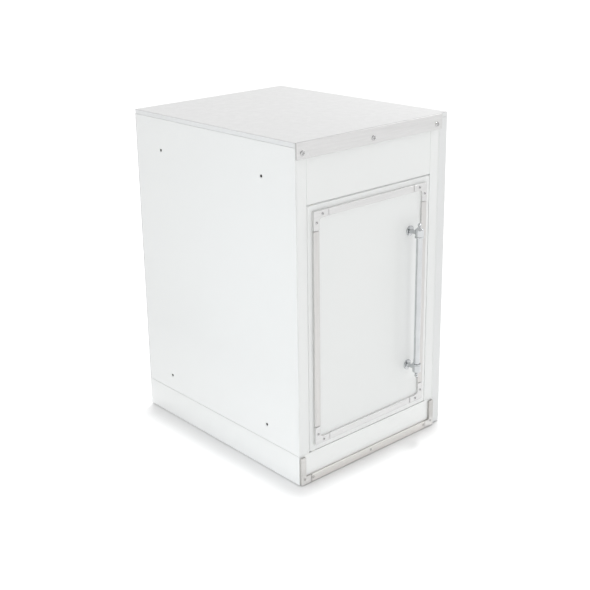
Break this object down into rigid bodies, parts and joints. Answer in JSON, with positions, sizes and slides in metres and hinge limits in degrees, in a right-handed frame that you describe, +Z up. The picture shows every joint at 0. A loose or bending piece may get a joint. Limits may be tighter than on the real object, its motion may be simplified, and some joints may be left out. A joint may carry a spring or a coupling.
{
  "type": "trash compactor",
  "caption": "Undercounter trash compactor: a cabinet with a side-hinged framed door and bar handle, and inside it a bin and a ram driven down by two power screws, a chain and a motor.",
  "frame": {"origin": "middle of the whole outline's footprint, on the floor", "axes": "+X to the right as seen from the front, +Y from the door to the back, +Z up"},
  "size_m": [0.519, 0.6826, 0.864],
  "materials": {
    "white_enamel": "smooth semi-gloss baked enamel",
    "top_laminate": "pale grey satin laminate",
    "end_board": "fibreboard under smooth white lacquer",
    "trim_metal": "satin anodised",
    "panel_white": "smooth, slightly glossy",
    "chrome": "polished",
    "zinc_steel": "zinc plated, dull",
    "screw_steel": "bright plated",
    "black_screw": "black oxide",
    "bin_plastic": "fine texture",
    "grip_plastic": "fine texture",
    "ram_paint": "grey powder coat",
    "thread_steel": "oiled, machined",
    "bronze": "machined",
    "motor_paint": "dark grey powder coat",
    "chain_steel": "oiled",
    "nylon": "satin",
    "liner_plastic": "satin",
    "black_plastic": "satin",
    "red_plastic": "glossy",
    "rubber": "matt"
  },
  "bodies": {
    "cabinet": {"top_plate": "top_laminate", "left_side_panel": "white_enamel", "right_side_panel": "white_enamel", "right_end_panel": "end_board", "back_panel": "zinc_steel", "left_stile": "white_enamel", "right_stile": "white_enamel", "fascia_panel": "white_enamel", "toe_panel": "white_enamel", "base_frame": "white_enamel", "base_pan": "zinc_steel", "feet": "rubber", "inner_rails": "zinc_steel", "top_beam": "zinc_steel", "rear_bulkhead": "zinc_steel", "top_trim": "trim_metal", "toe_trim": "trim_metal", "toe_trim_corners": "trim_metal", "side_screws": "black_screw", "front_screws": "screw_steel", "back_screws": "screw_steel", "hinge_brackets": "zinc_steel", "hinge_pins": "screw_steel", "door_catch": "black_plastic", "interlock_switch": "black_plastic", "control_box": "black_plastic", "bin": "bin_plastic", "bin_handle": "grip_plastic", "screw_bearings": "bronze", "motor_gearcase": "motor_paint", "motor_housing": "motor_paint", "drive_chain": "chain_steel", "chain_tensioner": "nylon", "bottom_cover": "zinc_steel", "power_inlet": "black_plastic", "wiring_conduit": "black_plastic"},
    "door": {"door_skin": "white_enamel", "door_liner": "liner_plastic", "door_panel": "panel_white", "door_trim_rails": "trim_metal", "door_trim_stiles": "trim_metal", "door_corner_brackets": "trim_metal", "door_trim_screws": "screw_steel", "handle_bar": "chrome", "handle_sleeves": "chrome", "handle_posts": "chrome", "handle_rosettes": "chrome", "handle_screws": "screw_steel", "hinge_bushes": "nylon", "catch_keeper": "zinc_steel"},
    "ram": {"ram_plate": "ram_paint", "ram_column": "ram_paint", "ram_crossbeam": "ram_paint", "drive_nuts": "bronze"},
    "left_screw": {"left_power_screw": "thread_steel"},
    "right_screw": {"right_power_screw": "thread_steel"},
    "drive_shaft": {"motor_shaft": "thread_steel"},
    "switch_plunger": {"interlock_plunger": "red_plastic"},
    "rocker": {"power_rocker": "black_plastic"}
  },
  "joints": [
    {"name": "door_hinge", "type": "hinge", "parent": "cabinet", "child": "door", "pos_m": [-0.21, -0.2892, 0.4], "axis": [0, 0, -1], "range_deg": [0, 95]},
    {"name": "ram_travel", "type": "slide", "parent": "cabinet", "child": "ram", "axis": [0, 0, 1], "range_m": [-0.34, 0]},
    {"name": "left_screw_spin", "type": "hinge", "parent": "cabinet", "child": "left_screw", "pos_m": [-0.232, -0.0477, 0.09], "axis": [0, 0, 1], "range_deg": [-12250, 10]},
    {"name": "right_screw_spin", "type": "hinge", "parent": "cabinet", "child": "right_screw", "pos_m": [0.204, -0.0477, 0.09], "axis": [0, 0, 1], "range_deg": [-12250, 10]},
    {"name": "motor_spin", "type": "hinge", "parent": "cabinet", "child": "drive_shaft", "pos_m": [-0.014, 0.2473, 0.06], "axis": [0, 0, 1], "range_deg": [-16331, 10]},
    {"name": "interlock_press", "type": "slide", "parent": "cabinet", "child": "switch_plunger", "axis": [0, 1, 0], "range_m": [0, 0.0025], "stiffness_N_per_m": 200},
    {"name": "rocker_tilt", "type": "hinge", "parent": "cabinet", "child": "rocker", "pos_m": [-0.104, -0.2557, 0.7165], "axis": [0, -1, 0], "range_deg": [0, 14]}
  ],
  "couplings": [
    {"joint": "left_screw_spin", "follows": "ram_travel", "rad_per_m": 628.32},
    {"joint": "right_screw_spin", "follows": "ram_travel", "rad_per_m": 628.32},
    {"joint": "motor_spin", "follows": "ram_travel", "rad_per_m": 837.76}
  ]
}
